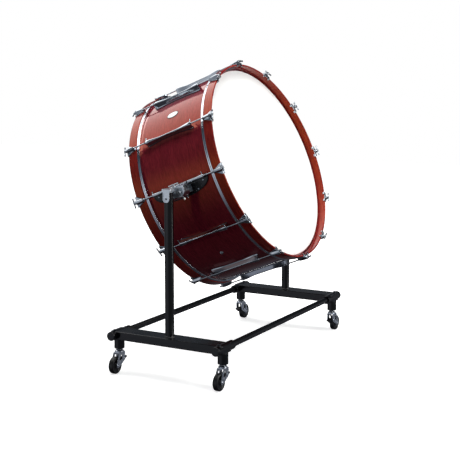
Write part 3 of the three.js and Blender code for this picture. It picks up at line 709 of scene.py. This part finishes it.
# %% [markdown]
# ## Tilt clamps
# Each trunnion ends in a split block that grips the pin of its post. It is cast, then milled: a bore, a slit
# that lets it close, a sunk panel on its face. A T-handled bolt pulls it tight. A collar stands between block
# and plate, and a small wing screw hangs from it. All of it turns with the drum, so it rides on the drum's
# body. The castings are blasted before they are plated, which gives them a pale satin look.


# %% Tilt clamps
def clamp_block():
    """The left block, with +X up, -Y to the front and +Z away from the drum."""
    side = rounded([(-8, -59), (-8, 45), (-55, 45), (-55, -42, 5), (-38, -59, 5)], 3, 5)
    block = break_edges(slab(side, 483.4, 534.9), 1.6)
    panel = slab(rounded([(-13, -53), (-13, 39), (-50, 39), (-50, -41), (-37, -53)], 4, 4), 533.2, 540)
    ring = rounded([(6, 532), (13, 532), (13, 534.9), (6, 534.9)], 0.5)
    collar = moved(turned(ring, 40), at(x=-PIVOT_DROP) @ TO_Z)
    bore = moved(bar(8.2, 488.3, 540, 40), at(x=-PIVOT_DROP) @ TO_Z)
    slit = box((-60, -28), (-0.9, 0.9), (490, 540), 0)
    front = box((-34, -14), (-64, -57.4), (492, 526), 0)
    holes = [moved(bar(2.3, 528, 545), at(-22, y) @ TO_Z) for y in (-19, -29, -46)]
    raised = fused(fused(block, panel, how="DIFFERENCE"), collar)
    return fused(raised, bore, slit, front, *holes, how="DIFFERENCE")


def clamp_bolt():
    """The bolt that pulls the block tight: a nut, a stem and a waisted T-handle."""
    line = [(0, -9), (6.5, -9), (6.5, -4.5, 0.8), (4, -3.5, 0.8), (4, 9, 0), (0, 9, 0)]
    stem = moved(turned(rounded(line, 0.6), 28), at(z=509.1) @ TO_X)
    half = [(28, 1.2, 1), (27.4, 3.0, 2.2), (25, 3.9, 2.8), (18, 3.5, 2.6), (9, 3.2, 2.5), (4, 3.9, 2.8)]
    rows = [(-y, w, d) for y, w, d in half] + [(0, 4, 2.9)] + half[::-1]
    ring = [2 * pi * i / 18 for i in range(18)]
    handle = [[(9 + deep * sin(a), y, 509.1 + wide * cos(a)) for a in ring] for y, wide, deep in rows]
    return fused(stem, skin(handle))


def clamp_collar():
    """The collar between plate and block, drilled for two screws, with ribs on its front."""
    body = box((-44, -10), (-56, -28), (457, 484), 2.2, 3)
    ribs = [box((-43, -11), (-57.4, -54), (z, z + 3), 0.8) for z in (464, 471, 478)]
    holes = [moved(bar(2.6, -40, -60), at(x=x, z=468.8)) for x in (-35, -19)]
    groove = box((-46, -40.5), (-46, -38), (455, 490), 0)
    return fused(fused(body, *ribs), groove, *holes, how="DIFFERENCE")


def wing_screw():
    """The small screw under the collar, whose drop-shaped wing hangs down."""
    stem_line = rounded([(0, -50), (2.4, -50, 0), (2.4, -42, 0), (0, -42, 0)], 0.4)
    stem = moved(turned(stem_line, 16), at(y=-32, z=477.3) @ TO_X)
    rows = [(-48, 1.6, 1.4), (-49.5, 2.8, 1.8), (-53, 2.8, 1.7), (-58, 3.3, 1.8), (-62, 4.3, 1.9),
            (-64.5, 4.1, 1.8), (-66.2, 2.6, 1.4), (-66.9, 1, 0.8)]
    ring = [2 * pi * i / 18 for i in range(18)]
    wing = [[(x, -32 + deep * sin(a), 477.3 + wide * cos(a)) for a in ring] for x, wide, deep in rows]
    return fused(stem, skin(wing))


clamp_parts = (("clamp_block", clamp_block, satin_chrome), ("clamp_bolt", clamp_bolt, chrome),
               ("clamp_collar", clamp_collar, satin_chrome), ("wing_screw", wing_screw, satin_chrome))
for side, hour, flip in (("left", 9, 1), ("right", 3, -1)):
    mirror = Matrix.Scale(flip, 4, (1, 0, 0))
    for name, make, finish in clamp_parts:
        mesh = finished(f"{name}_{side}", moved(make(), mirror), finish)
        piece(f"{name}_{side}", mesh, station(hour), "drum", "chrome", f"trunnion_{side}")
        print(name, side, len(mesh.polygons), "faces")

# %% [markdown]
# ## Post brackets
# A chromed bracket sits on each post. It has a cap over the post's top, a cheek down its outer face with a
# raised border and a screw, and the pin that the clamp grips. It stays with the stand.


# %% Post brackets
def bracket():
    """The left bracket round the pin's axis, with +X towards the drum."""
    cap_outline = rounded([(-24.3, -23, 5), (20, -23, 2), (20, 23, 2), (-24.3, 23, 5)], 3, 5)
    cap = break_edges(slab(cap_outline, 10, 24), 1.5)
    side = rounded([(-16, 23), (16, 23), (16, -25, 9), (9, -34, 7), (-9, -34, 7), (-16, -25, 9)], 2, 5)
    cheek = break_edges(slab(side, -24.3, -20.4, "X"), 0.9)
    dish = slab(rounded([(-12, 5), (12, 5), (12, -23), (7, -30), (-7, -30), (-12, -23)], 3, 5), -30, -23.1, "X")
    pin = moved(turned(rounded([(0, -21), (7.5, -21), (7.5, 78.1), (0, 78.1, 0)], 1), 40), TO_X)
    return fused(fused(cap, cheek, pin), dish, how="DIFFERENCE")


for side, flip in (("left", 1), ("right", -1)):
    mesh = finished(f"post_bracket_{side}", moved(bracket(), Matrix.Scale(flip, 4, (1, 0, 0))), satin_chrome)
    place = stand_side(side, PIVOT_Z)
    piece(f"bracket_cast_{side}", mesh, place, "stand", "chrome", f"post_bracket_{side}")
    spot = at(x=-23.2 * flip, z=-18) @ Matrix.Rotation(-flip * pi / 2, 4, "Y")
    piece(f"cheek_screw_{side}", screw_mesh, place @ spot, "stand", "chrome", f"post_bracket_{side}")
    print("post bracket", side, len(mesh.polygons), "faces")

# %% [markdown]
# ## Pinch lever
# A thin rod with a white ball turns the screw that pinches the left clamp. It turns about its own screw, so
# it rides on its own body. Hub, rod and ball are all turned on a lathe.

# %% Pinch lever
hub_line = rounded([(0, 535.3), (6.4, 535.3), (6.4, 539), (5.6, 543.6, 2), (3.4, 545.2), (0, 545.3, 0)], 1)
lever_hub = moved(turned(hub_line, 32), at(-35, -38) @ TO_Z)
arm_place = at(-35, -38, 541.1) @ Matrix.Rotation(radians(202), 4, "Z") @ TO_X
lever_arm = moved(turned([(0, 0), (2, 0), (1.7, 30), (2, 33.5), (0, 33.5)], 16), arm_place)
ball_line = [(4.8 * sin(pi * i / 16), 36.9 - 4.8 * cos(pi * i / 16)) for i in range(17)]
lever_mesh = finished("lever_stick", bundle(lever_hub, lever_arm), chrome)
ball_mesh = finished("lever_ball", moved(turned(ball_line, 28), arm_place), ball_white)
piece("lever_stick", lever_mesh, station(9), "lock_lever", "chrome", "lock_lever")
piece("lever_ball", ball_mesh, station(9), "lock_lever", "chrome", "lock_lever")
print("lever:", len(lever_mesh.polygons) + len(ball_mesh.polygons), "faces")

# %% [markdown]
# ## Side frames
# Each side of the stand is welded from steel tube and powder-coated black. A flat beam carries the round
# post, two sleeves that hold the cross tubes, and two short legs for the casters. A weld leaves a row of
# small ripples, so the bead round the post is skinned with a rippled edge. The sleeves' outer ends have
# plastic caps, and a hexagon bolt on top of the beam locks each tube.


# %% Side frames
def beam():
    outline = rounded([(-43.5, -285), (43.5, -285), (43.5, 285), (-43.5, 285)], 12, 6)
    return break_edges(slab(outline, BEAM_LOW, BEAM_TOP), 3.0, 3)


def weld_bead(radius, width, ripples=38, steps=228):
    """A ring of weld with one ripple for each drop of metal."""
    rings = []
    for i in range(steps):
        turn = 2 * pi * i / steps
        swell = width * (0.82 + 0.18 * abs(sin(turn * ripples / 2)))
        row = [(radius - 1, -1), (radius + swell, -1), (radius + swell * 0.75, swell * 0.55),
               (radius + 0.3, swell), (radius - 1, swell)]
        rings.append([(r * cos(turn), r * sin(turn), z) for r, z in row])
    return skin(rings, closed=True)


beam_mesh = finished("beam", beam(), powder)
post_line = rounded([(0, BEAM_TOP - 1), (POST, BEAM_TOP - 1, 0), (POST, POST_TOP), (0, POST_TOP, 0)], 1.5)
post_mesh = finished("post", moved(turned(post_line, 64), TO_Z), powder)
bead_mesh = finished("weld_bead", weld_bead(POST, 4.2), powder, sharp=70)
sleeve_line = rounded([(14.8, 78), (20.5, 78), (20.5, -64.5), (18.9, -64.8, 0.3), (18.9, 10), (14.8, 10)], 1.0)
cap_line = rounded([(0, -60), (18.6, -60), (18.6, -64.6, 0), (20.5, -64.9), (20.3, -67), (17.5, -68.9),
                    (0, -68.9, 0)], 1.2)
leg_line = rounded([(7, LEG_LOW), (22, LEG_LOW), (23, LEG_LOW + 1), (23, BEAM_LOW + 1), (7, BEAM_LOW + 1)], 1.2)
leg_mesh = finished("leg", moved(turned(leg_line, 56), TO_Z), powder)
washer = moved(turned(rounded([(0, -0.5), (9.6, -0.5), (9.6, 1.1), (0, 1.1, 0)], 0.4), 32), TO_Z)
hexagon = break_edges(moved(turned([(0, 0.9), (7.9, 0.9), (7.9, 5.9), (6.6, 6.9), (0, 6.9)], 6), TO_Z), 0.35)
bolt_mesh = finished("set_bolt", bundle(washer, hexagon), bolt_steel)
sleeve_mesh, cap_mesh = {}, {}
for side, turn in (("left", 0), ("right", pi)):
    swing = Matrix.Rotation(turn, 4, "Z") @ TO_X
    sleeve_mesh[side] = finished(f"sleeve_{side}", moved(turned(sleeve_line, 56), swing), powder)
    cap_mesh[side] = finished(f"sleeve_cap_{side}", moved(turned(cap_line, 56), swing), nylon)
print("beam:", len(beam_mesh.polygons), "faces, bead:", len(bead_mesh.polygons), "faces")

# %% Place the side frames and cross tubes
tube_line = rounded([(12, -561.5), (14, -561.5), (14, 561.5), (12, 561.5)], 0.4, 1)
tube_mesh = finished("cross_tube", moved(turned(tube_line, 56), TO_X), powder)
for side in ("left", "right"):
    node = f"side_frame_{side}"
    out = -1 if side == "left" else 1
    piece(f"beam_{side}", beam_mesh, stand_side(side), "stand", "black_paint", node)
    piece(f"post_{side}", post_mesh, stand_side(side), "stand", "black_paint", node)
    piece(f"weld_bead_{side}", bead_mesh, stand_side(side, BEAM_TOP), "stand", "black_paint", node)
    for end, y in (("front", -CORNER_Y), ("rear", CORNER_Y)):
        corner = stand_side(side) @ at(y=y)
        middle = corner @ at(z=(BEAM_LOW + BEAM_TOP) / 2)
        bolt = corner @ at(x=out * 33, z=BEAM_TOP)
        piece(f"sleeve_{end}_{side}", sleeve_mesh[side], middle, "stand", "black_paint", node)
        piece(f"sleeve_cap_{end}_{side}", cap_mesh[side], middle, "stand", "black_paint", node)
        piece(f"leg_{end}_{side}", leg_mesh, corner, "stand", "black_paint", node)
        piece(f"set_bolt_{end}_{side}", bolt_mesh, bolt, "stand", "black_paint", node)
for end, y in (("front", -CORNER_Y), ("rear", CORNER_Y)):
    place = at(y=PIVOT_Y + y, z=(BEAM_LOW + BEAM_TOP) / 2)
    piece(f"tube_{end}", tube_mesh, place, "stand", "black_paint", f"cross_tube_{end}")
print("side frames placed, cross tube:", len(tube_mesh.polygons), "faces")

# %% [markdown]
# ## Casters
# A caster is drawn round its kingpin, with the floor at zero and the wheel trailing towards -X. The fork is
# one pressed strip with two cheeks and a pierced window, the race holds the balls, the wheel is a nylon core
# with a rubber tyre, and a foot lever sits between the cheeks. Fork, wheel and lever ride on three bodies.


# %% Caster fork
def cheek(y0, y1):
    """One cheek of the fork: from the top plate down to the axle, with a window pressed out."""
    outer = rounded([(-22, 93), (-46, 44, 12), (-42, 27, 9), (-28, 27, 9), (6, 47, 5), (20, 54, 4), (20, 93)],
                    3, 6)
    window = rounded([(-14, 80), (-26, 62), (-19, 56), (-4, 60), (-4, 80)], 4, 4)
    hole = slab(window, y0 - 1, y1 + 1, "Y")
    return fused(break_edges(slab(outer, y0, y1, "Y"), 0.7), hole, how="DIFFERENCE")


def fork():
    crown = break_edges(slab(rounded([(-22, -17), (20, -17), (20, 17), (-22, 17)], 5, 4), 90, 93), 0.8)
    return fused(crown, cheek(-17, -14.1), cheek(14.1, 17))


race_line = rounded([(0, 92), (20, 92), (20, 96.5), (17.5, 97.2, 0.4), (17.5, 98.2, 0.4), (18.6, 98.8),
                     (15, 102.6), (9, 103), (9, 104.2, 0.4), (5.5, 104.6, 0.4), (5.5, 139, 1), (0, 139.9, 0)], 0.8)
axle_line = rounded([(0, -20), (3.2, -20), (3.2, -19), (6.5, -19, 0.6), (6.5, -17, 0.2), (4, -17, 0),
                     (4, 17, 0), (6.5, 17, 0.2), (6.5, 20), (0, 20, 0)], 0.8)
pin_line = rounded([(0, -19), (3.6, -19), (3.6, -17, 0.2), (2.5, -17, 0), (2.5, 17, 0), (3.6, 17, 0.2),
                    (3.6, 19), (0, 19, 0)], 0.5)
race_mesh = finished("race", moved(turned(race_line, 48), TO_Z), zinc)
fork_mesh = finished("fork", fork(), zinc)
axle = moved(turned(axle_line, 24), at(x=-35, z=38))
rivet = moved(turned(pin_line, 20), at(x=13, z=61))
axle_mesh = finished("axle_and_rivet", bundle(axle, rivet), zinc)
print("fork:", len(fork_mesh.polygons), "faces, race:", len(race_mesh.polygons), "faces")

# %% Caster wheel and brake lever
tyre_half = [(30.2, 10.5), (31.5, 12), (34.5, 12, 1.5), (38, 9.5, 3.5)]
tyre_line = rounded([(r, -y, *e) for r, y, *e in tyre_half] + tyre_half[::-1], 0.6, 4)
tyre_mesh = finished("tyre", turned(tyre_line, 72), rubber)
core_half = [(4.8, 13), (9.5, 13), (10.5, 11.5, 0.8), (13, 11, 1), (14, 8.8, 0.8), (26.5, 7.6, 2),
             (28, 9.6, 0.8), (30.4, 9.6)]
core = turned(rounded([(r, -y, *e) for r, y, *e in core_half] + core_half[::-1], 0.5, 3), 72)
core_mesh = finished("wheel_core", core, nylon)
strip_side = [(5, 67.5), (12, 69.2), (19, 66.5, 3), (24, 60.5, 5), (31, 58.8, 4), (46, 65, 1.5),
              (47, 61.5, 1.5), (31.5, 53, 4), (22, 47, 4), (14, 42.5, 3), (9, 46, 3), (7, 57, 3)]
strip = break_edges(slab(rounded(strip_side, 2, 4), -10, 10, "Y"), 1.2)
lever_hole = moved(bar(3.1, -12, 12), at(x=13, z=61))
ribs = [box((33, 45), (y - 0.8, y + 0.8), (59, 62.5), 0.3) for y in (-6, -2, 2, 6)]
ribs = [moved(rib, at(x=39, z=61) @ Matrix.Rotation(radians(-23), 4, "Y") @ at(x=-39, z=-59.2)) for rib in ribs]
brake_mesh = finished("brake_lever", fused(fused(strip, *ribs), lever_hole, how="DIFFERENCE"), nylon)
for end, y in (("front", -CORNER_Y), ("rear", CORNER_Y)):
    for side, turn in (("left", 0), ("right", pi)):
        where = f"{end}_{side}"
        corner = stand_side(side) @ at(y=y) @ Matrix.Rotation(turn, 4, "Z")
        wheel = corner @ at(x=-35, z=38)
        piece(f"race_{where}", race_mesh, corner, f"caster_{where}", "chrome", f"caster_fork_{where}")
        piece(f"fork_{where}", fork_mesh, corner, f"caster_{where}", "chrome", f"caster_fork_{where}")
        piece(f"axle_{where}", axle_mesh, corner, f"caster_{where}", "chrome", f"caster_fork_{where}")
        piece(f"tyre_{where}", tyre_mesh, wheel, f"wheel_{where}", "black_rubber", f"wheel_{where}")
        piece(f"wheel_core_{where}", core_mesh, wheel, f"wheel_{where}", "black_rubber", f"wheel_{where}")
        piece(f"brake_{where}", brake_mesh, corner, f"brake_{where}", "black_paint", f"brake_lever_{where}")
print("tyre:", len(tyre_mesh.polygons), "faces, brake lever:", len(brake_mesh.polygons), "faces")

# %% [markdown]
# ## Camera
# A long lens from far off keeps the drum's round faces from bulging. A lens can be tilted or shifted to frame
# a thing. This one is shifted down a little, so that the posts stay nearly upright.


# %% Camera
def look(place, towards, up="Y"):
    """A matrix at a place, looking towards a point."""
    turn = (Vector(towards) - Vector(place)).to_track_quat("-Z", up)
    return Matrix.Translation(place) @ turn.to_matrix().to_4x4()


camera = bpy.data.objects.new("camera", bpy.data.cameras.new("camera"))
bpy.context.scene.collection.objects.link(camera)
bpy.context.scene.camera = camera
camera.data.lens, camera.data.sensor_width = 86.7, 36.0
camera.data.shift_y = -0.1002
eye = Vector((-4.547, -2.519, 1.413))
camera.matrix_world = look(eye, eye - Vector((-0.8683, -0.4821, 0.1169)))
camera.data.clip_end = 60
print("camera:", camera.data.lens, "mm lens at", [round(v, 2) for v in eye], "m")

# %% [markdown]
# ## Light
# Polished things are lit by what they mirror. One very wide softbox stands high behind the drum and makes
# the bright patch on the upper shell, one hangs overhead, and one in front keeps the playing head white. A
# narrow strip low on the right draws a thin line of light down round things such as the posts. The room
# is a soft grey that is brightest towards the left horizon and darker above and below it, which gives the
# chrome its dark edges.


# %% Lights and room
def softbox(name, place, towards, width, height, watts):
    lamp = bpy.data.lights.new(name, "AREA")
    lamp.shape, lamp.size, lamp.size_y, lamp.energy = "RECTANGLE", width, height, watts
    thing = bpy.data.objects.new(name, lamp)
    bpy.context.scene.collection.objects.link(thing)
    thing.matrix_world = look(place, towards)
    return thing


softbox("softbox_rear", (0.9, 5.0, 5.2), (0, 0, 0.8), 7.6, 3.6, 200)
softbox("softbox_overhead", (-0.2, -0.4, 4.6), (0, 0, 0.8), 3.0, 2.4, 165)
softbox("softbox_front", (0.7, -4.2, 2.4), (0, 0, 0.75), 2.6, 2.2, 135)
softbox("strip_right", (1.1, -3.1, 1.0), (-0.6, 0, 0.6), 0.55, 2.4, 12)
world = bpy.data.worlds.new("studio")
bpy.context.scene.world = world
world.use_nodes = True
tree = world.node_tree
seen_from = add(tree, "ShaderNodeTexCoord").outputs["Generated"]
split = add(tree, "ShaderNodeSeparateXYZ", {0: seen_from})
height = add(tree, "ShaderNodeMapRange", {"Value": split.outputs["Z"], "From Min": -1.0, "From Max": 1.0})
ramp = add(tree, "ShaderNodeValToRGB", {"Fac": height.outputs[0]})
stops = ramp.color_ramp.elements
stops[0].position, stops[0].color = 0.1, linear("#4E4C54")
stops[1].position, stops[1].color = 1.0, linear("#30353D")
stops.new(0.40).color = linear("#A4A8B4")
stops.new(0.50).color = linear("#F0F3FA")
stops.new(0.62).color = linear("#6B7480")
facing = add(tree, "ShaderNodeVectorMath", {0: seen_from, 1: (-0.874, 0.486, 0)}, operation="DOT_PRODUCT")
leftward = add(tree, "ShaderNodeMapRange", {
    "Value": facing.outputs["Value"], "From Min": 0.72, "From Max": 0.92, "To Min": 0.36, "To Max": 1.0})
room = add(tree, "ShaderNodeBackground", {"Color": ramp.outputs["Color"], "Strength": leftward.outputs[0]})
white = add(tree, "ShaderNodeBackground", {"Color": linear("#FFFFFF"), "Strength": 1.0})
seen = add(tree, "ShaderNodeLightPath").outputs["Is Camera Ray"]
both = add(tree, "ShaderNodeMixShader", {0: seen, 1: room.outputs[0], 2: white.outputs[0]})
tree.links.new(both.outputs[0], tree.nodes["World Output"].inputs["Surface"])

# %% [markdown]
# ## Floor
# The drum stands on a plain white floor that has no visible end. The floor glows a little more with distance,
# so that it meets the white room without a line, and near the drum it still takes a soft shadow.

# %% Floor
floor_finish, floor_tree, floor_shader = new_finish("matt_white_studio_floor", roughness=0.9)
floor_shader.inputs["Base Color"].default_value = linear("#F4F4F2")
floor_shader.inputs["Emission Color"].default_value = linear("#FFFFFF")
spot = add(floor_tree, "ShaderNodeTexCoord").outputs["Object"]
away = add(floor_tree, "ShaderNodeVectorMath", {0: spot}, operation="LENGTH").outputs["Value"]
glow = add(floor_tree, "ShaderNodeMapRange", {
    "Value": away, "From Min": 0.6, "From Max": 2.4, "To Min": 0.62, "To Max": 1.0})
floor_tree.links.new(glow.outputs[0], floor_shader.inputs["Emission Strength"])
floor_corners = [(-9e3, -9e3), (9e3, -9e3), (9e3, 9e3), (-9e3, 9e3)]
floor_mesh = finished("floor", slab(floor_corners, -20, 0), floor_finish)
floor = bpy.data.objects.new("floor", floor_mesh)
bpy.context.scene.collection.objects.link(floor)
floor.visible_glossy = False
floor.visible_diffuse = False
bpy.context.scene.view_settings.view_transform = "Standard"
print("floor:", floor.dimensions.x, "m wide")
